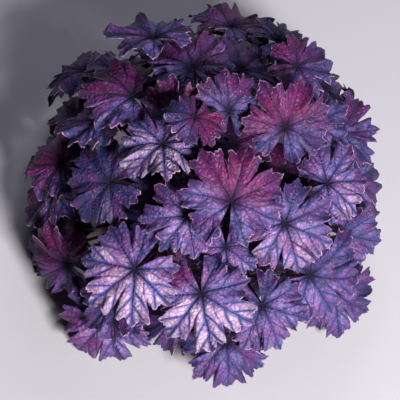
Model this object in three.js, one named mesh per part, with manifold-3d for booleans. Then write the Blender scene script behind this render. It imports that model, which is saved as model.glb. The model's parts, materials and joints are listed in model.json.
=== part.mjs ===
// A heuchera: a dense mound of lobed, ruffled leaves, each on its own stalk, round a woody crown that is cut
// flat at ground level. Lengths are millimetres and angles degrees, +Z is up, and the origin is the middle of
// the crown's cut face. The leaves sit on a shell, a half ellipsoid over the crown. A place on it has a
// bearing, from the front (-Y) towards +X, an elevation above the ground, and a lift off the shell.

import * as THREE from 'three';
import { mergeVertices } from 'three/addons/utils/BufferGeometryUtils.js';
import Module from 'manifold-3d';

const wasm = await Module();
wasm.setup();

// Driving dimensions
const LEAF_COUNT = 59;
const BLADE_WIDTH = 96; // across the side lobes of a full-sized leaf
const BLADE_THICKNESS = 1.0;
const STALK_SIDES = 3;
const STALK_RADIUS = 2.4; // to the corners of its section
const STALK_STEPS = 4;
const SHELL_RADIUS = 164;
const SHELL_HEIGHT = 172;
const SHELL_BASE = 18;
const CROWN_RADIUS = 40;
const CROWN_HEIGHT = 36;
const STALK_ROOT = 27; // how far from the crown's middle a stalk starts
const SEAT_GAP = 0.35; // between a stalk and its socket in the crown
const LEAF_GAP = 0.45; // between one leaf and the next
const GROUND_GAP = 0.6; // between a leaf and the surface that the plant stands on

// The blade's outline and relief. Lengths are shares of the midrib
const VEIN_STEP = 48; // from one main vein to the next
const LOBE_LENGTHS = [0.78, 0.92, 1, 1.02, 1, 0.92, 0.78];
const LOBE_SPREAD = 0.06;
const WIDTH_PER_MIDRIB = 1.78;
const SINUS_DEPTH = [0.42, 0.7]; // where the cuts between lobes end
const BASE_NOTCH = 0.45; // the blade's reach beside the stalk
const TOOTH_ANGLE = [14.5, 22]; // from a vein to the lobe's side teeth
const TOOTH_LENGTH = [0.84, 0.97]; // as a share of the lobe's
const NOTCH_PLACE = 0.5; // of the way from the lobe's tip to its side tooth
const NOTCH_LENGTH = 0.9; // as a share of what lies between the tip's length and the tooth's
const VEIN_POINT = 0.5; // where on its vein a lobe is bent
const FUNNEL_DEPTH = 0.11; // the dip where the veins meet
const FUNNEL_WIDTH = 0.2;
const FOLD = [0.12, 0.2]; // how high the blade stands between two veins
const DROOP = [0.12, 0.3]; // how far the lobes' tips hang
const BEND = 0.4; // how each lobe bends up or down by itself, outside BEND_START
const BEND_START = 0.3;
const WAVE = 0.12; // the slow wave round the margin
const TWIST = 0.07; // how far a lobe's one side lies over its neighbour

// Leaves set by hand: bearing, elevation, heading of the tip from downhill, width, tilt of the tip off the
// shell, roll, and lift
const SET_LEAVES = [
  [18, 60, 148, 98, 8, 0, 14],
  [-25, 37, -34, 97, 26, 6, 10],
  [-2, 32, 12, 97, 24, -6, 4],
  [41, 46, 32, 88, 22, 8, 4],
  [43, 23, 54, 102, 26, -4, -2],
  [-46, 74, 4, 80, 18, 8, 6],
  [89, 62, 90, 88, 46, -6, 2],
  [-100, 82, -54, 76, 50, 0, 4],
  [24, 21, 6, 88, 30, 4, -4],
  [98, 49, 30, 84, 34, 6, -4],
  [73, 43, 32, 82, 26, -8, 0],
  [-59, 53, -38, 80, 20, -6, -4],
  [-33, 9, -20, 96, 34, -4, -2],
  [-55, 17, -76, 82, 26, 8, -4],
  [-8, 56, -80, 78, 12, 8, -12],
  [-21, 87, 14, 58, 14, 0, 8],
  [99, 78, 84, 70, 42, 0, -4],
  [7, 50, -24, 76, 10, 0, -22],
  [12, 8, 6, 88, 38, 0, 8],
  [47, 6, 30, 88, 38, 4, 8],
  [-12, 5, -6, 86, 34, 0, -8],
];

// The other leaves' spiral from the top of the shell down, which leaves out the places that are taken
const SPIRAL_PLACES = 90;
const SPIRAL_REACH = 0.93; // of the shell's height
const NEAREST = 37; // between two leaves' stalk ends
const GOLDEN_ANGLE = 137.508;

// The lower leaves, which stand in the shade under the shell and share a leaf's root. The first ones fill gaps
// between the leaves set by hand, at these bearings and elevations
const LOW_SET = [[-49, 47], [-66, 10], [100, 70], [88, 46], [34, 10], [20, 49], [-45, 72], [3, 29]];
const LOW_COUNT = 18;
const LOW_WIDTH = 68;
const LOW_DEPTH = 52; // under the shell
const LOW_REACH = 0.94;

// How a leaf is bent clear of the others: the furthest that a try moves it, and the tries leading up to that
const TRIES = 500;
const TRIES_TO_FULL_REACH = 60;
const NUDGE = { bearing: 14, elevation: 11, heading: 40, width: 0.16, tilt: 16, roll: 20, lift: 20 };
const LOWEST_ELEVATION = 4;

const DEG = Math.PI / 180;
const vec = (x, y, z) => new THREE.Vector3(x, y, z);
const clamp = (x, low, high) => Math.min(high, Math.max(low, x));

// A repeatable number from 0 to 1 for leaf i and use k
function draw(i, k) {
  const s = Math.sin(i * 12.9898 + k * 78.233) * 43758.5453;
  return s - Math.floor(s);
}
const spread = (i, k, reach) => (2 * draw(i, k) - 1) * reach;
const between = (i, k, [low, high]) => low + (high - low) * draw(i, k);

function direction({ bearing, elevation }) {
  const flat = Math.cos(elevation * DEG);
  return vec(Math.sin(bearing * DEG) * flat, -Math.cos(bearing * DEG) * flat, Math.sin(elevation * DEG));
}

function shellPoint(place) {
  const d = direction(place);
  const radius = SHELL_RADIUS + place.lift;
  return vec(d.x * radius, d.y * radius, SHELL_BASE + d.z * (SHELL_HEIGHT + place.lift));
}

// The planned place of leaf i at step k of the spiral
function spiralPlace(k, i) {
  const elevation = Math.asin(1 - (k + 0.5) / SPIRAL_PLACES * SPIRAL_REACH) / DEG;
  return {
    bearing: (k * GOLDEN_ANGLE) % 360,
    elevation,
    heading: spread(i, 1, 26),
    width: BLADE_WIDTH * (1 - 0.22 * draw(i, 2)),
    tilt: 14 + 16 * Math.cos(elevation * DEG) + spread(i, 3, 10),
    roll: 10 + spread(i, 4, 10),
    lift: -4 + spread(i, 5, 12),
  };
}

// The planned place of lower leaf k, which is leaf i
function lowPlace(k, i) {
  const spiralElevation = Math.asin(1 - (k + 0.5) / LOW_COUNT * LOW_REACH) / DEG;
  const [bearing, elevation] = LOW_SET[k] ?? [(20 + k * GOLDEN_ANGLE) % 360, spiralElevation];
  return {
    bearing,
    elevation,
    heading: spread(i, 1, 60),
    width: LOW_WIDTH * (1 + spread(i, 2, 0.1)),
    tilt: 16 + spread(i, 3, 12),
    roll: spread(i, 4, 14),
    lift: -LOW_DEPTH + spread(i, 5, 10),
  };
}

// The place of leaf i, moved by try n: the first try moves nothing, and later ones reach further
function nudged(place, i, n) {
  const share = Math.min(1, n / TRIES_TO_FULL_REACH);
  const k = 100 + 10 * n;
  return {
    bearing: place.bearing + spread(i, k, NUDGE.bearing * share),
    elevation: Math.max(place.elevation + spread(i, k + 1, NUDGE.elevation * share), LOWEST_ELEVATION),
    heading: place.heading + spread(i, k + 2, NUDGE.heading * share),
    width: place.width * (1 - NUDGE.width * share * draw(i, k + 3)),
    tilt: place.tilt + spread(i, k + 4, NUDGE.tilt * share),
    roll: place.roll + spread(i, k + 5, NUDGE.roll * share),
    lift: place.lift + spread(i, k + 6, NUDGE.lift * share),
  };
}

// The blade's own frame in space: x along the midrib, z out of its upper face
function bladeFrame(place) {
  const out = direction(place);
  const side = vec(Math.cos(place.bearing * DEG), Math.sin(place.bearing * DEG), 0);
  const x = side.clone().cross(out)
    .multiplyScalar(Math.cos(place.heading * DEG))
    .addScaledVector(side, Math.sin(place.heading * DEG));
  const y = out.clone().cross(x);
  x.multiplyScalar(Math.cos(place.tilt * DEG)).addScaledVector(out, Math.sin(place.tilt * DEG));
  y.applyAxisAngle(x, place.roll * DEG);
  return new THREE.Matrix4().makeBasis(x, y, x.clone().cross(y)).setPosition(shellPoint(place));
}

// What makes leaf i's blade differ from the others
function bladeForm(i, width) {
  const midrib = width / WIDTH_PER_MIDRIB;
  return {
    midrib,
    lobes: LOBE_LENGTHS.map((length, k) => midrib * length * (1 + spread(i, 10 + k, LOBE_SPREAD))),
    sinuses: LOBE_LENGTHS.slice(1).map((_, k) => midrib * between(i, 20 + k, SINUS_DEPTH)),
    fold: midrib * between(i, 30, FOLD),
    droop: midrib * between(i, 31, DROOP),
    bends: LOBE_LENGTHS.map((_, k) => midrib * spread(i, 50 + k, BEND)),
    wave: midrib * WAVE * draw(i, 32),
    waveTurn: 360 * draw(i, 33),
    twist: midrib * spread(i, 34, TWIST),
    teeth: [-1, 1].map((side) => LOBE_LENGTHS.map((_, k) => ({
      angle: side * between(i, 50 + 10 * side + k, TOOTH_ANGLE),
      length: between(i, 80 + 10 * side + k, TOOTH_LENGTH),
    }))),
  };
}

// Height of the blade over its own flat plane: a funnel at the stalk, a valley along each vein, a droop
// towards the margin, a slow wave round it, each lobe's own bend, and lobes whose sides lie one over the next
function bladeHeight(form, angle, length) {
  const k = clamp(Math.round(angle / VEIN_STEP), -3, 3);
  const across = (angle - k * VEIN_STEP) / (VEIN_STEP / 2);
  const sinus = (form.sinuses[across > 0 ? k + 3 : k + 2] ?? form.midrib * BASE_NOTCH) / form.midrib;
  const r = length / form.midrib;
  const free = clamp((r - sinus) / (1 - sinus), 0, 1);
  return form.midrib * FUNNEL_DEPTH * (1 - Math.exp(-r / FUNNEL_WIDTH))
    + form.fold * r * Math.abs(across)
    - form.droop * r * r
    + form.wave * r * r * Math.sin((3 * angle + form.waveTurn) * DEG)
    + form.bends[k + 3] * Math.max(r - BEND_START, 0) ** 2 * (1 - across ** 2)
    + form.twist * across * free;
}

// Angle and length of each point on lobe k's outline. A lobe shares its first and last point, at the cuts,
// with its neighbours. The two lobes by the stalk have no notch on that side. A plain leaf's lobes have a tip
// and no teeth
function lobeOutline(form, k, plain) {
  const vein = (k - 3) * VEIN_STEP;
  const half = (n, side) => {
    const tooth = form.teeth[n][k];
    const sinus = form.sinuses[side < 0 ? k - 1 : k];
    const notch = [vein + tooth.angle * NOTCH_PLACE, form.lobes[k] * NOTCH_LENGTH * (1 + tooth.length) / 2];
    return [
      [vein + side * VEIN_STEP / 2, sinus ?? form.midrib * BASE_NOTCH],
      ...(plain ? [] : [[vein + tooth.angle, form.lobes[k] * tooth.length]]),
      ...(plain || sinus === undefined ? [] : [notch]),
    ];
  };
  return [...half(0, -1), [vein, form.lobes[k]], ...half(1, 1).reverse()];
}

// The blade's points, flat, as angle and length from its middle, which is the first of them, and its faces.
// Each lobe is a fan round a point on its vein, and two triangles more, given by their outer points, join it to
// the middle
function bladeNet(form, plain) {
  const flat = [[0, 0]];
  const edge = [0];
  const inner = [];
  const fans = [];
  form.lobes.forEach((_, k) => {
    const outline = lobeOutline(form, k, plain);
    const onVein = flat.push([(k - 3) * VEIN_STEP, form.midrib * VEIN_POINT]) - 1;
    const first = k === 0 ? flat.push(outline[0]) - 1 : edge[edge.length - 1];
    const row = [first, ...outline.slice(1).map((point) => flat.push(point) - 1)];
    edge.push(...(k === 0 ? row : row.slice(1)));
    inner.push([first, onVein], [onVein, row[row.length - 1]]);
    for (let n = 0; n < row.length - 1; n++) fans.push([onVein, row[n], row[n + 1]]);
  });
  return { flat, edge, inner, fans };
}

// Where a leaf's stalk starts in the crown
function stalkRoot(place) {
  const out = direction(place);
  return out.clone().multiplyScalar(STALK_ROOT).setZ(6 + out.z * (CROWN_HEIGHT - 14));
}

// The stalk's middle line: out of the crown steeply, then over towards the blade, which it meets from below
function stalkCurve(place, frame, root) {
  const out = direction(place);
  const top = shellPoint(place);
  const reach = top.distanceTo(root);
  const steep = place.elevation + 22 * (1 - place.elevation / 90);
  const rise = direction({ bearing: place.bearing, elevation: steep });
  const arrive = new THREE.Vector3().setFromMatrixColumn(frame, 2).lerp(out, 0.5).normalize();
  return new THREE.CubicBezierCurve3(
    root,
    root.clone().addScaledVector(rise, reach * 0.42),
    top.clone().addScaledVector(arrive, -reach * 0.3),
    top,
  );
}

// The direction of corner s of a stalk's section, from the axis u towards v; corner 0 lies against u
const corner = (s, u, v) => {
  const turn = Math.PI + 2 * Math.PI * s / STALK_SIDES;
  return u.clone().multiplyScalar(Math.cos(turn)).addScaledVector(v, Math.sin(turn));
};

// The corners of the stalk's section at t along its curve
function stalkRing({ curve, frame }, radius, t) {
  const along = curve.getTangent(t);
  const midrib = new THREE.Vector3().setFromMatrixColumn(frame, 0);
  const u = midrib.addScaledVector(along, -midrib.dot(along)).normalize();
  const v = along.clone().cross(u);
  return Array.from({ length: STALK_SIDES }, (_, s) => (
    curve.getPoint(t).addScaledVector(corner(s, u, v), radius)));
}

// Triangles of the tube from one ring of points down to the next, which start at the indices given
function tubeFaces(upper, lower) {
  return Array.from({ length: STALK_SIDES }, (_, s) => {
    const next = (s + 1) % STALK_SIDES;
    return [upper + s, lower + s, lower + next, upper + s, lower + next, upper + next];
  }).flat();
}

// A leaf as one closed mesh. The blade has the same faces above and below, with a wall round its edge. Below,
// its middle is the stalk's top ring, and each face that would meet there goes to the ring's nearest corner
function leafGeometry(form, stalk, plain) {
  const { flat, edge, inner, fans } = bladeNet(form, plain);
  const onBlade = (lift) => flat.map(([angle, length]) => vec(
    length * Math.cos(angle * DEG),
    length * Math.sin(angle * DEG),
    bladeHeight(form, angle, length) + lift,
  ));
  const ring = Array.from({ length: STALK_SIDES }, (_, s) => (
    corner(s, vec(STALK_RADIUS, 0, 0), vec(0, STALK_RADIUS, 0)).setZ(-BLADE_THICKNESS)));
  const points = [...onBlade(BLADE_THICKNESS / 2), ...onBlade(-BLADE_THICKNESS / 2), ...ring];
  points.forEach((point) => point.applyMatrix4(stalk.frame));

  const below = flat.length;
  const top = 2 * flat.length;
  const nearest = (n) => top + Math.round((flat[n][0] + 180) / (360 / STALK_SIDES)) % STALK_SIDES;
  const index = fans.flatMap(([a, b, c]) => [a, b, c, below + a, below + c, below + b]);
  for (const [a, b] of inner) {
    index.push(0, a, b, nearest(a), below + b, below + a);
    if (nearest(a) !== nearest(b)) index.push(nearest(a), nearest(b), below + b);
  }
  const under = (n) => (n === 0 ? top : below + n);
  edge.forEach((a, n) => {
    const b = edge[(n + 1) % edge.length];
    index.push(a, under(a), under(b), a, under(b), b);
  });

  for (let n = STALK_STEPS - 1; n >= 0; n--) {
    index.push(...tubeFaces(points.length - STALK_SIDES, points.length));
    points.push(...stalkRing(stalk, STALK_RADIUS, n / STALK_STEPS));
  }
  const root = points.length - STALK_SIDES;
  for (let s = 1; s < STALK_SIDES - 1; s++) index.push(root, root + s + 1, root + s);
  return new THREE.BufferGeometry().setFromPoints(points).setIndex(index);
}

// What a stalk needs free in the crown: its first stretch, wider and deeper by the seat gap
function socketGeometry(stalk) {
  const radius = STALK_RADIUS + SEAT_GAP / Math.cos(Math.PI / STALK_SIDES);
  const mouth = stalkRing(stalk, radius, 1 / STALK_STEPS);
  const deeper = stalk.curve.getTangent(0).multiplyScalar(-SEAT_GAP);
  const end = stalkRing(stalk, radius, 0).map((point) => point.add(deeper));
  const index = tubeFaces(0, STALK_SIDES);
  for (let s = 1; s < STALK_SIDES - 1; s++) {
    index.push(0, s, s + 1, STALK_SIDES, STALK_SIDES + s + 1, STALK_SIDES + s);
  }
  return new THREE.BufferGeometry().setFromPoints([...mouth, ...end]).setIndex(index);
}

// A manifold-3d solid of a closed geometry, and back
function solidOf(geometry) {
  const bare = new THREE.BufferGeometry().setAttribute('position', geometry.getAttribute('position'));
  bare.setIndex(geometry.index);
  const merged = mergeVertices(bare, 1e-3);
  return new wasm.Manifold(new wasm.Mesh({
    numProp: 3,
    vertProperties: merged.getAttribute('position').array,
    triVerts: new Uint32Array(merged.index.array),
  }));
}

function geometryOf(solid) {
  const mesh = solid.getMesh();
  return new THREE.BufferGeometry()
    .setAttribute('position', new THREE.BufferAttribute(mesh.vertProperties, 3))
    .setIndex(new THREE.BufferAttribute(mesh.triVerts, 1))
    .toNonIndexed();
}

// Leaf i at its place, its blade and stalk grown together, with the box that holds it
function leafAt(place, i, root, plain) {
  const frame = bladeFrame(place);
  const stalk = { curve: stalkCurve(place, frame, root), frame };
  const solid = solidOf(leafGeometry(bladeForm(i, place.width), stalk, plain));
  const { min, max } = solid.boundingBox();
  const box = new THREE.Box3(vec(...min), vec(...max)).expandByScalar(LEAF_GAP);
  return { name: `${i + 1}`.padStart(2, '0'), place, stalks: [stalk], solid, box };
}

const standsClear = (leaf, others) => leaf.box.min.z > GROUND_GAP - LEAF_GAP && others.every((other) => (
  !leaf.box.intersectsBox(other.box) || leaf.solid.minGap(other.solid, 1) > LEAF_GAP));

// Each leaf in turn takes the first try that is clear of the ground and of every leaf before it. A place on the
// spiral where no try is clear, or which is near a leaf's planned place, is left out
function growLeaves() {
  const leaves = [];
  const taken = [];
  const grow = (planned) => {
    const i = leaves.length;
    for (let n = 0; n < TRIES; n++) {
      const place = nudged(planned, i, n);
      const leaf = leafAt(place, i, stalkRoot(place), false);
      if (standsClear(leaf, leaves)) {
        leaves.push(leaf);
        taken.push(shellPoint(planned));
        return;
      }
    }
  };
  for (const [bearing, elevation, heading, width, tilt, roll, lift] of SET_LEAVES) {
    grow({ bearing, elevation, heading, width, tilt, roll, lift });
  }
  for (let k = 0; k < SPIRAL_PLACES && leaves.length < LEAF_COUNT; k++) {
    const planned = spiralPlace(k, leaves.length);
    const point = shellPoint(planned);
    if (taken.every((other) => other.distanceTo(point) > NEAREST)) grow(planned);
  }
  return leaves;
}

// Each lower leaf grows from the root of the nearest leaf that has none yet, its host, and is one body with
// it. It is clear of every other leaf, and from OUT_OF_ROOT of its stalk upwards of its host
function growLowLeaves(leaves) {
  const OUT_OF_ROOT = 0.4;
  for (let k = 0; k < LOW_COUNT; k++) {
    const i = LEAF_COUNT + k;
    const planned = lowPlace(k, i);
    const out = direction(planned);
    const free = leaves.filter((leaf) => leaf.stalks.length === 1);
    const [host] = free.sort((a, b) => out.dot(direction(b.place)) - out.dot(direction(a.place)));
    const others = leaves.filter((leaf) => leaf !== host);
    for (let n = 0; n < TRIES; n++) {
      const low = leafAt(nudged(planned, i, n), i, host.stalks[0].curve.v0, true);
      if (!standsClear(low, others)) continue;
      const cut = low.stalks[0].curve.getPoint(OUT_OF_ROOT).dot(out);
      if (low.solid.trimByPlane(out.toArray(), cut).minGap(host.solid, 1) > LEAF_GAP) {
        host.name += `_${low.name}`;
        host.solid = host.solid.add(low.solid);
        host.stalks.push(low.stalks[0]);
        host.box.union(low.box);
        break;
      }
    }
  }
}

// The crown: a knobbly dome, cut flat underneath, with a socket for each stalk
function crownSolid(leaves) {
  const TURNS = 12;
  const KNOBS = 5;
  const shares = [[0, 0], [0.93, 0], [1, 0.22], [0.96, 0.5], [0.8, 0.76], [0.5, 0.94], [0.2, 1], [0, 1.02]];
  const profile = shares.map(([r, h]) => new THREE.Vector2(r * CROWN_RADIUS, h * CROWN_HEIGHT));
  const dome = new THREE.LatheGeometry(profile, TURNS).rotateX(Math.PI / 2);
  const position = dome.getAttribute('position');
  const point = vec(0, 0, 0);
  for (let n = 0; n < position.count; n++) {
    point.fromBufferAttribute(position, n);
    const turn = Math.atan2(point.y, point.x);
    const knob = 1 + 0.06 * Math.cos(KNOBS * turn) + 0.04 * Math.sin((2 * KNOBS + 1) * turn + point.z / 9);
    position.setXYZ(n, point.x * knob, point.y * knob, point.z * (0.5 + knob / 2));
  }
  const sockets = leaves.flatMap((leaf) => leaf.stalks.map((stalk) => solidOf(socketGeometry(stalk))));
  return solidOf(dome).subtract(wasm.Manifold.union(sockets));
}

function part(name, solid, finish) {
  const mesh = new THREE.Mesh(geometryOf(solid), finish);
  mesh.name = name;
  return mesh;
}

const leafFinish = new THREE.MeshStandardMaterial({ color: 0x6f5a9c, roughness: 0.45, metalness: 0.05 });
const crownFinish = new THREE.MeshStandardMaterial({ color: 0x4a3328, roughness: 0.85, metalness: 0 });

const leaves = growLeaves();
growLowLeaves(leaves);

const plant = new THREE.Group();
plant.add(part('crown', crownSolid(leaves), crownFinish));
for (const leaf of leaves) plant.add(part(`leaf_${leaf.name}`, leaf.solid, leafFinish));

export default plant;
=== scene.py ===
"""Looks of a heuchera: fine ruffled leaves on round stalks over a woody crown, their finishes and a studio.

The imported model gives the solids. Every leaf solid is dressed with a fine leaf of the same form: its place
is worked out again from the rule that grew it, and checked against the solid's own corners. Lengths in the
rules are millimetres and angles degrees; meshes are in metres, with +Z up. A place on the shell over the
crown has a bearing, from the front (-Y) towards +X, an elevation above the ground, and a lift off the shell.
"""
from __future__ import annotations

import json
import logging
import math
from collections.abc import Callable
from dataclasses import dataclass, fields
from enum import Enum, IntEnum
from functools import reduce
from typing import Any, Self

import bpy
import numpy as np
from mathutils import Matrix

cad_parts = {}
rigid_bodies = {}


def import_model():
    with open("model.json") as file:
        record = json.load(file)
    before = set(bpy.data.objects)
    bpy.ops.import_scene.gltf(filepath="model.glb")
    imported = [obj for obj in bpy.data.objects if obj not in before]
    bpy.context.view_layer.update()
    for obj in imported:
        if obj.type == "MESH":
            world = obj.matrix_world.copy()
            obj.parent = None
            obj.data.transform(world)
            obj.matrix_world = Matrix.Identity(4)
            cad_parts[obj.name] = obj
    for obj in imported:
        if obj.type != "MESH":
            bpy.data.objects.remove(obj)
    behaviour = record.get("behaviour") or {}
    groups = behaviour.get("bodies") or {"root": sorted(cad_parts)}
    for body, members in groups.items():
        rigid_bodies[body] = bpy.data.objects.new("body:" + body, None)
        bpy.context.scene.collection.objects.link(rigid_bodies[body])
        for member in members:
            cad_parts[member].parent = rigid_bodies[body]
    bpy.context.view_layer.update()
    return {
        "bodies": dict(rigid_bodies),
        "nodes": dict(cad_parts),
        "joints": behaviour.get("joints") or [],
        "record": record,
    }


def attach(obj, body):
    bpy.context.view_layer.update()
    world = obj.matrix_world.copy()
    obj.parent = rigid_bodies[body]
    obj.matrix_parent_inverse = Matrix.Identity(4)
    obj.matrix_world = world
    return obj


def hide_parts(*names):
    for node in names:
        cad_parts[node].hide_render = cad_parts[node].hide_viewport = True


LOG = logging.getLogger("heuchera")
Array = np.ndarray
Colour = tuple[float, float, float, float]

MM = 0.001
DEG = math.pi / 180
LOBES = 7
MIDRIB_LOBE = 3  # the lobe that the midrib runs into
VEIN_STEP = 48  # from one lobe's main vein to the next
PLANE_MAP = "leaf_plane"  # UV map that lays a blade out flat, its middle at the map's middle
PLANE_SPAN = 2.5  # midribs across that map


# ----------------------------------------------------------------------------------------- the growing rule


class Use(IntEnum):
    """What a leaf's repeatable numbers are for, as the first number of each use."""

    HEADING = 1
    WIDTH = 2
    TILT = 3
    ROLL = 4
    LIFT = 5
    LOBE = 10
    SINUS = 20
    FOLD = 30
    DROOP = 31
    WAVE = 32
    WAVE_TURN = 33
    TWIST = 34
    TOOTH_ANGLE = 40
    BEND = 50
    TOOTH_LENGTH = 70
    TRY = 100
    FLUSH = 210
    FLUSH_WAY = 211
    SILVER = 212
    NOTCH = 300
    RUFFLE = 330
    SIDE_CURVE = 360
    SMALL_TOOTH = 400
    SMALL_TURN = 420
    BITE = 440


LEAF_TURN = 12.9898  # of the sine that the repeatable numbers are drawn from
USE_TURN = 78.233
SINE_MULTIPLE = 43758.5453
USES_PER_SIDE = 20  # from the numbers of a lobe's left side to those of its right
USES_PER_STEP = 10  # from those of one try, or of one wave of the ruffle, to the next


def draw(leaf: int, use: Array | int) -> Array:
    """A repeatable number from 0 to 1: the fraction of a large multiple of a sine of leaf and use.

    Args:
        leaf: The leaf's index.
        use: What the number is for, one or many.

    Returns:
        The numbers, shaped as use.
    """
    wave = np.sin(leaf * LEAF_TURN + np.asarray(use, dtype=float) * USE_TURN) * SINE_MULTIPLE
    return wave - np.floor(wave)


def spread(leaf: int, use: Array | int, reach: Array | float) -> Array:
    """A repeatable number from -reach to reach."""
    return (2 * draw(leaf, use) - 1) * reach


def between(leaf: int, use: Array | int, low: float, high: float) -> Array:
    """A repeatable number from low to high."""
    return low + (high - low) * draw(leaf, use)


def unit(vectors: Array) -> Array:
    """Vectors scaled to length 1 along their last axis."""
    return vectors / np.linalg.norm(vectors, axis=-1, keepdims=True)


def polar(angle: Array, length: Array) -> Array:
    """Flat points at an angle from the x axis, in degrees, and a length from the origin."""
    return np.stack([length * np.cos(np.radians(angle)), length * np.sin(np.radians(angle))], axis=-1)


def direction(bearing: Array | float, elevation: Array | float) -> Array:
    """Unit vectors: the sine and minus the cosine of the bearing, flattened by the elevation, and its sine.

    Args:
        bearing: From the front towards +X, in degrees.
        elevation: Above the ground, in degrees.

    Returns:
        The vectors, along a new last axis.
    """
    turn, rise = np.radians(bearing), np.radians(elevation)
    flat = np.cos(rise)
    return np.stack([np.sin(turn) * flat, -np.cos(turn) * flat, np.sin(rise) + 0 * turn], axis=-1)


class Rows:
    """A dataclass of arrays, whose rows belong together."""

    def each(self, change: Callable[[Array], Array]) -> Self:
        """The same kind of rows, with every array changed alike."""
        return type(self)(*(change(getattr(self, one.name)) for one in fields(self)))

    def pick(self, which: Any) -> Self:
        """The rows at an index or a mask."""
        return self.each(lambda values: values[which])


@dataclass
class Places(Rows):
    """Where leaves stand, each field an array over the places, or one number for a single place."""

    bearing: Array
    elevation: Array
    heading: Array
    width: Array
    tilt: Array
    roll: Array
    lift: Array

    def out(self) -> Array:
        """Unit vectors from the crown towards the places."""
        return direction(self.bearing, self.elevation)


@dataclass
class Frames(Rows):
    """Blades' own frames: x along the midrib, y across it, z out of the upper face."""

    origin: Array
    x: Array
    y: Array
    z: Array

    def to_space(self, points: Array) -> Array:
        """Points of one blade's frame, in space."""
        return self.origin + points @ np.stack([self.x, self.y, self.z])


# the furthest that a try moves a leaf, of which the width only shrinks, by that share of itself
NUDGE = Places(bearing=14, elevation=11, heading=40, width=0.16, tilt=16, roll=20, lift=20)


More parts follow.
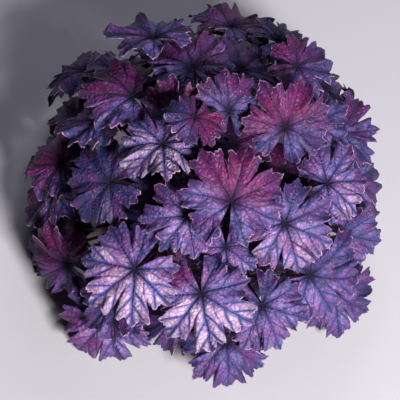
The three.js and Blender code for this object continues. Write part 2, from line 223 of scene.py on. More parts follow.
@dataclass(frozen=True)
class Shell:
    """The half ellipsoid that the leaves sit on, and the rule that sets them there."""

    radius: float = 164
    height: float = 172
    base: float = 18
    blade_width: float = 96
    leaf_count: int = 59
    golden_angle: float = 137.508

    spiral_places: int = 90
    spiral_reach: float = 0.93
    heading_spread: float = 26
    width_loss: float = 0.22
    top_tilt: float = 14
    tilt_towards_ground: float = 16
    tilt_spread: float = 10
    roll: float = 10
    roll_spread: float = 10
    lift: float = -4
    lift_spread: float = 12

    low_count: int = 18
    low_set: tuple[tuple[float, float], ...] = (
        (-49, 47), (-66, 10), (100, 70), (88, 46), (34, 10), (20, 49), (-45, 72), (3, 29),
    )
    low_first_bearing: float = 20
    low_reach: float = 0.94
    low_heading_spread: float = 60
    low_width: float = 68
    low_width_spread: float = 0.1
    low_tilt: float = 16
    low_tilt_spread: float = 12
    low_roll_spread: float = 14
    low_depth: float = 52
    low_lift_spread: float = 10

    tries: int = 500
    tries_to_full_reach: int = 60
    lowest_elevation: float = 4
    stalk_root: float = 27
    root_heights: tuple[float, float] = (6, 28)

    def point(self, places: Places) -> Array:
        """Points on the shell: the direction times the radius, or the height upwards, plus the lift.

        Args:
            places: Where the leaves stand.

        Returns:
            The middles of their blades.
        """
        out = places.out()
        flat = out[..., :2] * np.expand_dims(self.radius + places.lift, -1)
        rise = self.base + out[..., 2] * (self.height + places.lift)
        return np.concatenate([flat, np.expand_dims(rise, -1)], axis=-1)

    def spiral(self, leaf: int) -> Places:
        """The planned places of a leaf: one for each step of a spiral that comes down the shell by equal
        shares of its height and turns by the golden angle.

        Args:
            leaf: The leaf's index.

        Returns:
            The places.
        """
        step = np.arange(self.spiral_places)
        elevation = np.degrees(np.arcsin(1 - (step + 0.5) / self.spiral_places * self.spiral_reach))
        same = np.ones(self.spiral_places)
        tilt = self.top_tilt + self.tilt_towards_ground * np.cos(np.radians(elevation))
        return Places(
            bearing=(step * self.golden_angle) % 360,
            elevation=elevation,
            heading=same * spread(leaf, Use.HEADING, self.heading_spread),
            width=same * self.blade_width * (1 - self.width_loss * draw(leaf, Use.WIDTH)),
            tilt=tilt + spread(leaf, Use.TILT, self.tilt_spread),
            roll=same * (self.roll + spread(leaf, Use.ROLL, self.roll_spread)),
            lift=same * (self.lift + spread(leaf, Use.LIFT, self.lift_spread)),
        )

    def low(self, leaf: int) -> Places:
        """The planned place of a leaf in the shade under the shell: one of the set ones, or a spiral's.

        Args:
            leaf: The leaf's index.

        Returns:
            The place, as arrays of one.
        """
        step = leaf - self.leaf_count
        share = (step + 0.5) / self.low_count * self.low_reach
        bearing = (self.low_first_bearing + step * self.golden_angle) % 360
        elevation = math.asin(1 - share) / DEG
        if step < len(self.low_set):
            bearing, elevation = self.low_set[step]
        return Places(
            bearing=np.array([bearing]),
            elevation=np.array([elevation]),
            heading=spread(leaf, [Use.HEADING], self.low_heading_spread),
            width=self.low_width * (1 + spread(leaf, [Use.WIDTH], self.low_width_spread)),
            tilt=self.low_tilt + spread(leaf, [Use.TILT], self.low_tilt_spread),
            roll=spread(leaf, [Use.ROLL], self.low_roll_spread),
            lift=-self.low_depth + spread(leaf, [Use.LIFT], self.low_lift_spread),
        )

    def nudged(self, planned: Places, leaf: int) -> Places:
        """Every place that the tries give a leaf: each planned place moved by repeatable numbers.

        Args:
            planned: The places before any try.
            leaf: The leaf's index.

        Returns:
            The places of all tries, one after another for each planned place.
        """
        share = np.minimum(1, np.arange(self.tries) / self.tries_to_full_reach)
        use = Use.TRY + USES_PER_STEP * np.arange(self.tries)

        def moved(values: Array, step: int, reach: float) -> Array:
            """The values moved by every try, by up to the try's share of the reach."""
            return values[:, None] + spread(leaf, use + step, reach * share)

        tried = Places(
            bearing=moved(planned.bearing, 0, NUDGE.bearing),
            elevation=np.maximum(moved(planned.elevation, 1, NUDGE.elevation), self.lowest_elevation),
            heading=moved(planned.heading, 2, NUDGE.heading),
            width=planned.width[:, None] * (1 - NUDGE.width * share * draw(leaf, use + 3)),
            tilt=moved(planned.tilt, 4, NUDGE.tilt),
            roll=moved(planned.roll, 5, NUDGE.roll),
            lift=moved(planned.lift, 6, NUDGE.lift),
        )
        return tried.each(np.ravel)

    def frames(self, places: Places) -> Frames:
        """The blades' frames: the midrib runs downhill, turned by the heading in the shell's plane, then up
        by the tilt, and the blade turns about it by the roll.

        Args:
            places: Where the leaves stand.

        Returns:
            The frames.
        """
        out = places.out()
        turn = np.radians(places.bearing)
        side = np.stack([np.cos(turn), np.sin(turn), 0 * turn], axis=-1)

        def parts(angle: Array) -> tuple[Array, Array]:
            """The cosine and the sine of an angle, each with a new last axis."""
            turned = np.expand_dims(np.radians(angle), -1)
            return np.cos(turned), np.sin(turned)

        along, across = parts(places.heading)
        flat = np.cross(side, out) * along + side * across
        y = np.cross(out, flat)
        along, across = parts(places.tilt)
        x = flat * along + out * across
        along, across = parts(places.roll)
        y = y * along + np.cross(x, y) * across
        return Frames(self.point(places), x, y, np.cross(x, y))

    def root(self, place: Places) -> Array:
        """Where a leaf's stalk starts in the crown: the higher, the higher its leaf stands."""
        out, (lowest, highest) = place.out(), self.root_heights
        return np.array([*(out[:2] * self.stalk_root), lowest + out[2] * (highest - lowest)])


# each leaf's bearing, elevation, heading of the tip from downhill, width, tilt of the tip off the shell,
# roll and lift, then its colouring: how flushed it is with magenta, the way that the flush lies seen from
# the front (0 right, 90 back), and how silvery it is, which also scales its painted highlight towards the
# front
SET_LEAVES = [
    ((18, 60, 148, 98, 8, 0, 14), (0.80, 75, 0.55)),
    ((-25, 37, -34, 97, 26, 6, 10), (0.30, 190, 0.85)),
    ((-2, 32, 12, 97, 24, -6, 4), (0.45, 125, 0.80)),
    ((41, 46, 32, 88, 22, 8, 4), (0.50, 215, 0.70)),
    ((43, 23, 54, 102, 26, -4, -2), (0.15, 10, 0.50)),
    ((-46, 74, 4, 80, 18, 8, 6), (0.15, 100, 0.95)),
    ((89, 62, 90, 88, 46, -6, 2), (0.85, 100, 0.30)),
    ((-100, 82, -54, 76, 50, 0, 4), (0.80, 60, 0.35)),
    ((24, 21, 6, 88, 30, 4, -4), (0.40, 170, 0.50)),
    ((98, 49, 30, 84, 34, 6, -4), (0.25, 90, 0.45)),
    ((73, 43, 32, 82, 26, -8, 0), (0.40, 90, 0.75)),
    ((-59, 53, -38, 80, 20, -6, -4), (0.20, 270, 0.10)),
    ((-33, 9, -20, 96, 34, -4, -2), (0.45, 200, 0.55)),
    ((-55, 17, -76, 82, 26, 8, -4), (0.85, 90, 0.25)),
    ((-8, 56, -80, 78, 12, 8, -12), (0.45, 120, 0.50)),
    ((-21, 87, 14, 58, 14, 0, 8), (0.95, 0, 0.35)),
    ((99, 78, 84, 70, 42, 0, -4), (0.50, 90, 0.45)),
    ((7, 50, -24, 76, 10, 0, -22), (0.25, 180, 0.55)),
    ((12, 8, 6, 88, 38, 0, 8), (0.40, 90, 0.35)),
    ((47, 6, 30, 88, 38, 4, 8), (0.35, 45, 0.40)),
    ((-12, 5, -6, 86, 34, 0, -8), (0.30, 180, 0.30)),
]


# -------------------------------------------------------------------------------------------- the fine leaf


@dataclass(frozen=True)
class Veins:
    """Where veins run, in midribs from the blade's middle. Arrays and shader values both go through it."""

    step: float = VEIN_STEP * DEG
    main_width: float = 0.017
    main_taper: float = 0.0095  # of that width over a midrib's length
    side_width: float = 0.0085
    side_taper: float = 0.0025
    net_size: float = 0.09
    sway: float = 0.05
    sway_sizes: tuple[float, float] = (0.016, 0.013)  # in metres, of the sway along and across the midrib
    fork_slope: float = 1.05  # how far along its main vein a side vein runs for each step away from it
    fork_bend: float = 0.8  # how much more of that it runs the further away it is
    fork_spacing: float = 0.27
    fork_stagger: float = 0.06  # between the side veins of the two sides
    fork_first: float = 0.16  # where the first side veins leave
    fork_fade: float = 0.05  # how far before that place they start
    main_fade: tuple[float, float] = (0.5, 1.1)  # where a mark starts to fade and is gone, in its width
    side_fade: tuple[float, float] = (0.4, 1.25)
    net_fade: tuple[float, float] = (0.015, 0.06)  # and in a cell's size
    puff: tuple[float, float] = (0.0, 0.4)  # where a cell starts to rise and is full, in its size
    main_field: tuple[float, float] = (0.012, 0.075)  # how far from a vein the field starts and is full
    side_field: tuple[float, float] = (0.008, 0.05)

    def fork(self, along: Any, off: Any, side: Any) -> Any:
        """Where a side vein through a point left its main vein: back by the slope and the bend."""
        return along - off * self.fork_slope - off * off * self.fork_bend + side * self.fork_stagger

    def nearness(self) -> float:
        """From a step between two side veins' places to the distance between the veins, which run aslant."""
        return self.fork_spacing / math.hypot(self.fork_slope, 1)


VEINS = Veins()


def vein_angle(lobe: Array) -> Array:
    """The angle of a lobe's main vein from the midrib, in degrees."""
    return (lobe - MIDRIB_LOBE) * VEIN_STEP


def toothing(turn: Array) -> Array:
    """How deep a toothed margin is cut: 0 at every whole turn, where a tooth ends, and 1 halfway between.
    Half of the cut is a triangle wave, and half the scallop that a power of a cosine leaves.

    Args:
        turn: The place along the margin, in teeth.

    Returns:
        The depths.
    """
    triangle = 1 - np.abs(1 - 2 * (turn - np.floor(turn)))
    return 0.5 * triangle + 0.5 * (1 - np.abs(np.cos(np.pi * turn)) ** 0.65)


@dataclass
class Blade:
    """One leaf's blade: the form that its solid has, and the finer one that the fine leaf adds."""

    leaf: int
    midrib: float
    lobes: Array
    sinuses: Array
    fold: float
    droop: float
    bends: Array
    wave: float
    wave_turn: float
    twist: float
    tooth_angle: Array
    tooth_length: Array

    WIDTH_PER_MIDRIB = 1.78
    THICKNESS = 1.0
    EDGE_THICKNESS = 0.55

    # the solid's form, whose lengths are shares of the midrib
    LOBE_LENGTHS = np.array([0.78, 0.92, 1, 1.02, 1, 0.92, 0.78])
    LOBE_SPREAD = 0.06
    SINUS_DEPTH = (0.42, 0.7)
    BASE_NOTCH = 0.45
    TOOTH_ANGLE = (14.5, 22)
    TOOTH_LENGTH = (0.84, 0.97)  # as a share of the lobe's
    FUNNEL_DEPTH = 0.11
    FUNNEL_WIDTH = 0.2
    FOLD = (0.12, 0.2)
    FOLD_SHARE = 0.6  # of the solid's fold, whose edges are sharp
    DROOP = (0.12, 0.3)
    BEND = 0.4
    BEND_START = 0.3
    WAVE = 0.12
    WAVE_COUNT = 3
    TWIST = 0.07

    # the fine margin
    SIDE_SHARE = 0.34  # of the way from a cut to a tip, which runs along the lobe's side
    SIDE_CURVE = (0.4, 1.3)  # the power by which the side closes in
    SIDE_RISE = 0.9  # the power by which it grows
    NOTCH = (0.09, 0.15)  # depth between two teeth, as a share of the lobe's length
    SMALL_NOTCH = (0.03, 0.07)
    SMALL_TEETH = 3  # on each tooth
    SMALL_SHIFT = 0.35
    SMALL_SHIFT_COUNT = 5
    BITE = 1.4  # depth of the side's own notches, in degrees
    BITES = 2.5

    # the fine relief, whose heights are shares of the midrib
    QUILT = 0.01
    QUILT_SLOPE = 0.04
    QUILT_START = 0.12
    QUILT_RISE = 0.25
    QUILT_END = 0.2  # before the margin, as a share of the way to it
    GROOVE = 0.006
    GROOVE_WIDTH = 0.03
    RUFFLE = 0.085
    RUFFLE_POWER = 4  # of the way to the margin
    RUFFLE_WAVES = ((1.2, 0.8), (2.3, 0.45), (5.3, 0.15))  # each wave's turns over a lobe, and its size
    RUFFLE_SHIFT = 0.3
    RUFFLE_SHIFT_COUNT = 0.43

    @classmethod
    def of(cls, leaf: int, width: float) -> Blade:
        """The blade of a leaf, drawn from repeatable numbers.

        Args:
            leaf: The leaf's index.
            width: The blade's width.

        Returns:
            The blade.
        """
        midrib = float(width) / cls.WIDTH_PER_MIDRIB
        lobe = np.arange(LOBES)
        inner = midrib * between(leaf, Use.SINUS + lobe[:-1], *cls.SINUS_DEPTH)
        notch = [midrib * cls.BASE_NOTCH]
        sides = np.array([[0], [USES_PER_SIDE]])
        return cls(
            leaf=leaf,
            midrib=midrib,
            lobes=midrib * cls.LOBE_LENGTHS * (1 + spread(leaf, Use.LOBE + lobe, cls.LOBE_SPREAD)),
            sinuses=np.concatenate([notch, inner, notch]),
            fold=midrib * float(between(leaf, Use.FOLD, *cls.FOLD)),
            droop=midrib * float(between(leaf, Use.DROOP, *cls.DROOP)),
            bends=midrib * spread(leaf, Use.BEND + lobe, cls.BEND),
            wave=midrib * cls.WAVE * float(draw(leaf, Use.WAVE)),
            wave_turn=360 * float(draw(leaf, Use.WAVE_TURN)),
            twist=midrib * float(spread(leaf, Use.TWIST, cls.TWIST)),
            tooth_angle=between(leaf, Use.TOOTH_ANGLE + sides + lobe, *cls.TOOTH_ANGLE),
            tooth_length=between(leaf, Use.TOOTH_LENGTH + sides + lobe, *cls.TOOTH_LENGTH),
        )

    def height(self, angle: Array, length: Array, lobe: Array) -> Array:
        """Height over the blade's flat plane, as its solid has it but rounded: a funnel at the stalk, a
        valley along each main vein, a droop towards the margin, a slow wave round it, each lobe's own bend,
        and lobes that overlap.

        Args:
            angle: From the midrib, in degrees.
            length: From the blade's middle.
            lobe: Each point's lobe, 0 to 6.

        Returns:
            Heights in millimetres.
        """
        across = (angle - vein_angle(lobe)) / (VEIN_STEP / 2)
        sinus = self.sinuses[np.where(across > 0, lobe + 1, lobe)] / self.midrib
        r = length / self.midrib
        free = np.clip((r - sinus) / (1 - sinus), 0, 1)
        crest = np.clip(1 - across ** 2, 0, 1)
        return (
            self.midrib * self.FUNNEL_DEPTH * (1 - np.exp(-r / self.FUNNEL_WIDTH))
            + self.FOLD_SHARE * self.fold * r * (1 - np.cos(np.pi * across)) / 2
            - self.droop * r * r
            + self.wave * r * r * np.sin(np.radians(self.WAVE_COUNT * angle + self.wave_turn))
            + self.bends[lobe] * np.clip(r - self.BEND_START, 0, None) ** 2 * crest
            + self.twist * across * free
        )

    def lobe_tips(self) -> Array:
        """The seven lobe tips on the upper face of the solid, which is how a leaf's solid is told.

        Returns:
            The tips in the blade's frame.
        """
        lobe = np.arange(LOBES)
        angle = vein_angle(lobe)
        rise = self.height(angle, self.lobes, lobe) + self.THICKNESS / 2
        return np.column_stack([polar(angle, self.lobes), rise])

    def rim(self, lobe: Array, across: Array) -> tuple[Array, Array]:
        """The fine margin. From the cut between two lobes it runs out along the lobe's side, bitten a
        little, then over the lobe's teeth, each with smaller ones on it, to the tip.

        Args:
            lobe: Each column's lobe, 0 to 6.
            across: Each column's place over its lobe, from -1 at one cut to 1 at the other.

        Returns:
            Angles from the lobe's vein, in degrees, and lengths from the blade's middle.
        """
        right = (across > 0).astype(int)
        tooth = self.tooth_angle[right, lobe]
        reach = self.tooth_length[right, lobe]
        cut = self.sinuses[lobe + right]
        tip = self.lobes[lobe]

        def own(use: Use, low: float, high: float) -> Array:
            """A repeatable number of each lobe side's own."""
            return between(self.leaf, use + USES_PER_SIDE * right + lobe, low, high)

        way = 1 - np.abs(across)  # 0 at the cut, 1 at the tip
        out = np.clip(way / self.SIDE_SHARE, 0, 1)
        over = np.clip((way - self.SIDE_SHARE) / (1 - self.SIDE_SHARE), 0, 1)
        closing = (1 - out) ** own(Use.SIDE_CURVE, *self.SIDE_CURVE)
        angle = (tooth + (VEIN_STEP / 2 - tooth) * closing) * (1 - over)
        turn = angle / tooth
        crest = 1 + (reach - 1) * np.minimum(turn, 1)
        notch = own(Use.NOTCH, *self.NOTCH) * toothing(turn)
        shift = self.SMALL_SHIFT * np.sin(self.SMALL_SHIFT_COUNT * turn + own(Use.SMALL_TURN, 0, 6))
        small = own(Use.SMALL_TOOTH, *self.SMALL_NOTCH) * toothing(turn * self.SMALL_TEETH + shift)
        length = cut + (tip * (crest - (notch + small) * (over > 0)) - cut) * out ** self.SIDE_RISE
        bite = self.BITE * toothing(self.BITES * out + own(Use.BITE, 0, 1)) * np.sin(np.pi * out) * (out < 1)
        return np.sign(across) * (angle - bite), length

    def relief(self, angle: Array, length: Array, lobe: Array, reach: Array, along_rim: Array) -> Array:
        """The fine leaf's own relief, on top of the solid's form: grooves at the main veins, the blade
        quilted up between the side veins, and a ruffle of three waves that grows towards the margin.

        Args:
            angle: From the midrib, in degrees.
            length: From the blade's middle.
            lobe: Each point's lobe, 0 to 6.
            reach: From 0 at the blade's middle to 1 at its margin.
            along_rim: Each point's place round the margin, in lobes.

        Returns:
            Heights in millimetres.
        """
        r = length / self.midrib
        turn = np.radians(angle - vein_angle(lobe))
        along, off = r * np.cos(turn), np.abs(r * np.sin(turn))
        phase = VEINS.fork(along, off, np.sign(turn)) / VEINS.fork_spacing
        near = np.abs(phase - np.floor(phase) - 0.5) * VEINS.nearness()
        quilt = 1 - np.exp(-((near / self.QUILT_SLOPE) ** 2))
        groove = np.exp(-((off / self.GROOVE_WIDTH) ** 2))
        inner = np.clip((r - self.QUILT_START) / self.QUILT_RISE, 0, 1)
        open_blade = inner * np.clip((1 - reach) / self.QUILT_END, 0, 1) ** 0.5
        ruffle = 0
        for wave, (count, size) in enumerate(self.RUFFLE_WAVES):
            first, second = (draw(self.leaf, Use.RUFFLE + USES_PER_STEP * wave + step) for step in (0, 1))
            shift = self.RUFFLE_SHIFT * np.sin(2 * np.pi * (self.RUFFLE_SHIFT_COUNT * along_rim + second))
            ruffle = ruffle + size * np.sin(2 * np.pi * (count * along_rim + first + shift))
        return self.midrib * (
            self.QUILT * quilt * (1 - groove) * open_blade - self.GROOVE * groove * open_blade
            + self.RUFFLE * ruffle * reach ** self.RUFFLE_POWER
        )


class Tier(Enum):
    """How finely a leaf is made: columns over each lobe, and rings from the middle to the margin."""

    SET = (38, 17)
    SPIRAL = (30, 14)
    LOW = (16, 10)


@dataclass
class Sheet:
    """A mesh in the making: corners in metres, faces in groups of like corner count, and their marks."""

    points: Array
    faces: list[tuple[Array, int]]  # faces, as rows of corner numbers, and their material's number
    plane: Array  # each corner's place in the leaf plane map
    marks: dict[str, Array]  # named numbers, one for each corner

    def joined(self, other: Sheet) -> Sheet:
        """This sheet and another as one.

        Args:
            other: The sheet whose corners and faces come after this one's.

        Returns:
            The new sheet.
        """
        first = len(self.points)
        return Sheet(
            np.concatenate([self.points, other.points]),
            self.faces + [(rows + first, number) for rows, number in other.faces],
            np.concatenate([self.plane, other.plane]),
            {name: np.concatenate([mark, other.marks[name]]) for name, mark in self.marks.items()},
        )

    def to_object(self, name: str, materials: list[bpy.types.Material]) -> bpy.types.Object:
        """The sheet as an object at the origin, smooth, with its map, marks and materials.

        Args:
            name: The object's name.
            materials: The materials that the faces' numbers count through.

        Returns:
            The new object, linked to the scene.
        """
        mesh = bpy.data.meshes.new(name)
        corners = np.concatenate([rows.ravel() for rows, _ in self.faces]).astype(np.int32)
        counts = np.concatenate([np.full(len(rows), rows.shape[1]) for rows, _ in self.faces])
        numbers = np.concatenate([np.full(len(rows), number) for rows, number in self.faces])
        mesh.vertices.add(len(self.points))
        mesh.vertices.foreach_set("co", self.points.astype(np.float32).ravel())
        mesh.loops.add(len(corners))
        mesh.loops.foreach_set("vertex_index", corners)
        mesh.polygons.add(len(counts))
        mesh.polygons.foreach_set("loop_start", (np.cumsum(counts) - counts).astype(np.int32))
        mesh.polygons.foreach_set("material_index", numbers.astype(np.int32))
        mesh.update(calc_edges=True)
        mesh.shade_smooth()
        layer = mesh.uv_layers.new(name=PLANE_MAP)
        layer.uv.foreach_set("vector", self.plane[corners].astype(np.float32).ravel())
        for mark, values in self.marks.items():
            attribute = mesh.attributes.new(mark, "FLOAT", "POINT")
            attribute.data.foreach_set("value", values.astype(np.float32))
        for material in materials:
            mesh.materials.append(material)
        piece = bpy.data.objects.new(name, mesh)
        bpy.context.scene.collection.objects.link(piece)
        return piece


class Face(Enum):
    """The numbers of a leaf's materials."""

    UPPER = 0
    UNDER = 1
    STALK = 2


def tube(rings: Array, number: int) -> list[tuple[Array, int]]:
    """Faces of a closed tube. Its corners are its rings one after another, then the middles of its two ends.

    Args:
        rings: The corner numbers of the rings, one row each, from the first ring to the last.
        number: The faces' material number.

    Returns:
        The side's faces and the ends' faces.
    """
    start, end = rings[:-1], rings[1:]
    side = np.stack([start, np.roll(start, -1, 1), np.roll(end, -1, 1), end], axis=-1).reshape(-1, 4)
    first = np.full(rings.shape[1], rings.max() + 1)
    ends = [
        np.stack([first, np.roll(rings[0], -1), rings[0]], axis=-1),
        np.stack([first + 1, rings[-1], np.roll(rings[-1], -1)], axis=-1),
    ]
    return [(side, number), (np.concatenate(ends), number)]


def closed_blade(rings: int, columns: int) -> list[tuple[Array, int]]:
    """Faces of a blade. Its corners are the upper face's middle and rings from there out, then the
    underside's alike. The first column and the last are the two sides of the notch at the stalk.

    Args:
        rings: How many rings there are.
        columns: How many corners a ring has.

    Returns:
        The faces of the upper face, of the wall round the edge and of the underside.
    """
    grid = 1 + np.arange(rings * columns).reshape(rings, columns)
    fan = np.stack([np.zeros(columns - 1, int), grid[0, :-1], grid[0, 1:]], axis=-1)
    quads = np.stack([grid[:-1, :-1], grid[1:, :-1], grid[1:, 1:], grid[:-1, 1:]], axis=-1).reshape(-1, 4)
    loop = np.concatenate([[0], grid[:, 0], grid[-1, 1:], grid[-2::-1, -1]])
    ahead = np.roll(loop, -1)
    below = 1 + rings * columns
    wall = np.stack([loop, below + loop, below + ahead, ahead], axis=-1)
    return [
        (fan, Face.UPPER.value), (quads, Face.UPPER.value), (wall, Face.UPPER.value),
        (below + fan[:, ::-1], Face.UNDER.value), (below + quads[:, ::-1], Face.UNDER.value),
    ]


@dataclass
class Colouring:
    """A leaf's colouring: its flush of magenta, the way that lies seen from the front, and its silver, which
    also paints a highlight towards the front.
    """

    flush: float
    way: float
    silver: float

    FLUSH = (0.1, 0.75)
    WAY = (20, 160)
    SHELL_SILVER = (0.25, 0.6)
    # painted shade: the leaves in the shade under the shell get less silver, so they are coloured darker
    LOW_SILVER = (0.0, 0.3)  # in the shade
    SEEN_FROM = 60 * DEG  # the elevation from which a leaf's way is told
    FLUSH_MIDDLE, FLUSH_SLOPE = 0.55, 0.75
    # the silver's share in the middle, and its slope towards the front, which paints a highlight there
    SILVER_MIDDLE, SILVER_SLOPE = 0.8, -0.45

    @classmethod
    def of(cls, leaf: int) -> Colouring:
        """A set leaf's own colouring, or a repeatable one for any other leaf.

        Args:
            leaf: The leaf's index.

        Returns:
            The colouring.
        """
        if leaf < len(SET_LEAVES):
            return cls(*SET_LEAVES[leaf][1])
        silver = cls.SHELL_SILVER if leaf < Shell.leaf_count else cls.LOW_SILVER
        ranges = {Use.FLUSH: cls.FLUSH, Use.FLUSH_WAY: cls.WAY, Use.SILVER: silver}
        return cls(*(float(between(leaf, use, *ends)) for use, ends in ranges.items()))

    def marks(self, offset: Array, margin: Array) -> dict[str, Array]:
        """The colouring over a blade: the flush grows one way, and the silver towards the front, where it is
        a painted highlight.

        Args:
            offset: From the blade's middle to each corner, in midribs.
            margin: From 0 at the blade's middle to 1 at its margin.

        Returns:
            The marks that the finishes read.
        """
        up = offset[:, 1] * math.sin(self.SEEN_FROM) + offset[:, 2] * math.cos(self.SEEN_FROM)
        along = offset[:, 0] * math.cos(self.way * DEG) + up * math.sin(self.way * DEG)
        flush = self.flush * (self.FLUSH_MIDDLE + self.FLUSH_SLOPE * along)
        # painted highlight: the silvery tissue grows paler towards the front
        silver = self.silver * (self.SILVER_MIDDLE + self.SILVER_SLOPE * up)
        return {"margin": margin, "flush": np.clip(flush, 0, 1), "silver": np.clip(silver, 0, 1)}


@dataclass
class Leaf:
    """One leaf at its place, which builds its fine blade and its round stalk."""

    number: int
    tier: Tier
    place: Places
    frame: Frames
    root: Array

    RING_CROWDING = 1.2  # the power by which rings lie closer towards the margin
    TURNING = 0.5  # of a column's length, where it turns from the middle to its place on the margin
    STALK_RADIUS = 2.0
    STALK_TAPER = 0.3  # of the radius, from the crown to the blade
    STALK_SIDES = 10
    STALK_STEPS = 20
    STALK_LEAN = 22  # how much steeper than the leaf's elevation the lowest leaves' stalks start
    RISE_SHARE = 0.42  # of the way to the blade, where the stalk's curve keeps to its start
    ARRIVE_SHARE = 0.3  # and where it keeps to its end
    FOOT, FOOT_LENGTH = 0.35, 0.06  # how much wider a stalk is in the crown, and over what share of it
    HEAD, HEAD_LENGTH = 0.3, 0.03  # and under the blade

    def sheet(self) -> Sheet:
        """The whole leaf: the blade joined to the stalk."""
        return self.blade_sheet().joined(self.stalk_sheet())

    def blade_sheet(self) -> Sheet:
        """The blade as a grid of rings and columns on both faces, closed by a wall round its edge.

        A column starts at the blade's middle towards its place between the veins and bends to its place on
        the margin: twice reach times what is left of reach, times the turning point, plus reach squared
        times the margin's point.

        Returns:
            The blade's sheet.
        """
        blade = Blade.of(self.number - 1, float(self.place.width))
        per_lobe, rings = self.tier.value
        columns = LOBES * per_lobe + 1
        lobe = np.minimum(np.arange(columns) // per_lobe, LOBES - 1)
        across = 2 * (np.arange(columns) - lobe * per_lobe) / per_lobe - 1
        vein = vein_angle(lobe)
        local, length = blade.rim(lobe, across)
        tip, cut = blade.lobes[lobe], blade.sinuses[lobe + (across > 0)]
        turning = self.TURNING * (tip + (cut - tip) * across ** 2)
        reach = (1 - (1 - np.arange(1, rings + 1) / rings) ** self.RING_CROWDING)[:, None, None]
        bent = 2 * reach * (1 - reach) * polar(vein + across * VEIN_STEP / 2, turning)
        flat = bent + reach ** 2 * polar(vein + local, length)

        plane = np.concatenate([np.zeros((1, 2)), flat.reshape(-1, 2)])
        size = np.linalg.norm(plane, axis=1)
        lobes = np.concatenate([[MIDRIB_LOBE], np.tile(lobe, rings)])
        margin = np.concatenate([[0], np.repeat(reach.ravel(), columns)])
        along_rim = np.concatenate([[0], np.tile(lobe + (across + 1) / 2, rings)])
        off_vein = np.degrees(np.arctan2(plane[:, 1], plane[:, 0])) - vein_angle(lobes)
        angle = vein_angle(lobes) + (off_vein + 180) % 360 - 180
        rise = blade.height(angle, size, lobes) + blade.relief(angle, size, lobes, margin, along_rim)
        half = 0.5 * (blade.THICKNESS + (blade.EDGE_THICKNESS - blade.THICKNESS) * margin ** 3)
        upper = self.frame.to_space(np.column_stack([plane, rise + half]))
        under = self.frame.to_space(np.column_stack([plane, rise - half]))
        marks = Colouring.of(self.number - 1).marks((upper - self.frame.origin) / blade.midrib, margin)
        return Sheet(
            np.concatenate([upper, under]) * MM,
            closed_blade(rings, columns),
            np.tile(plane / blade.midrib / PLANE_SPAN + 0.5, (2, 1)),
            {name: np.tile(mark, 2) for name, mark in marks.items()},
        )

    def stalk_sheet(self) -> Sheet:
        """The stalk: a round tube along the cubic curve that its solid follows, wider where it sits in the
        crown and where it meets the blade.

        Returns:
            The stalk's sheet.
        """
        out = self.place.out()
        top = self.frame.origin
        reach = float(np.linalg.norm(top - self.root))
        elevation = float(self.place.elevation)
        rise = direction(self.place.bearing, elevation + self.STALK_LEAN * (1 - elevation / 90))
        arrive = unit((self.frame.z + out) / 2)
        start, end = self.root + rise * reach * self.RISE_SHARE, top - arrive * reach * self.ARRIVE_SHARE
        knots = np.stack([self.root, start, end, top])
        t = np.linspace(0, 1, self.STALK_STEPS + 1)[:, None]
        s = 1 - t
        line = s ** 3 * knots[0] + 3 * s * s * t * knots[1] + 3 * s * t * t * knots[2] + t ** 3 * knots[3]
        steps = np.diff(knots, axis=0)
        along = unit(s * s * steps[0] + 2 * s * t * steps[1] + t * t * steps[2])
        u = unit(self.frame.x - along * (along @ self.frame.x)[:, None])
        v = np.cross(along, u)
        turn = 2 * np.pi * np.arange(self.STALK_SIDES) / self.STALK_SIDES
        foot, head = self.FOOT * np.exp(-t / self.FOOT_LENGTH), self.HEAD * np.exp(-s / self.HEAD_LENGTH)
        radius = self.STALK_RADIUS * (1 - self.STALK_TAPER * t + foot + head)
        around = u[:, None] * np.cos(turn)[:, None] + v[:, None] * np.sin(turn)[:, None]
        points = (line[:, None] + around * radius[:, None]).reshape(-1, 3)
        points = np.concatenate([points, line[:1], line[-1:]])
        rings = np.arange((self.STALK_STEPS + 1) * self.STALK_SIDES).reshape(-1, self.STALK_SIDES)
        up_stalk = np.concatenate([np.repeat(t.ravel(), self.STALK_SIDES), [0, 1]])
        around_stalk = np.concatenate([np.tile(turn / (2 * np.pi), self.STALK_STEPS + 1), [0.5, 0.5]])
        marks = {"margin": up_stalk, "flush": 0 * up_stalk, "silver": 0 * up_stalk}
        plane = np.column_stack([around_stalk, up_stalk])
        return Sheet(points * MM, tube(rings, Face.STALK.value), plane, marks)


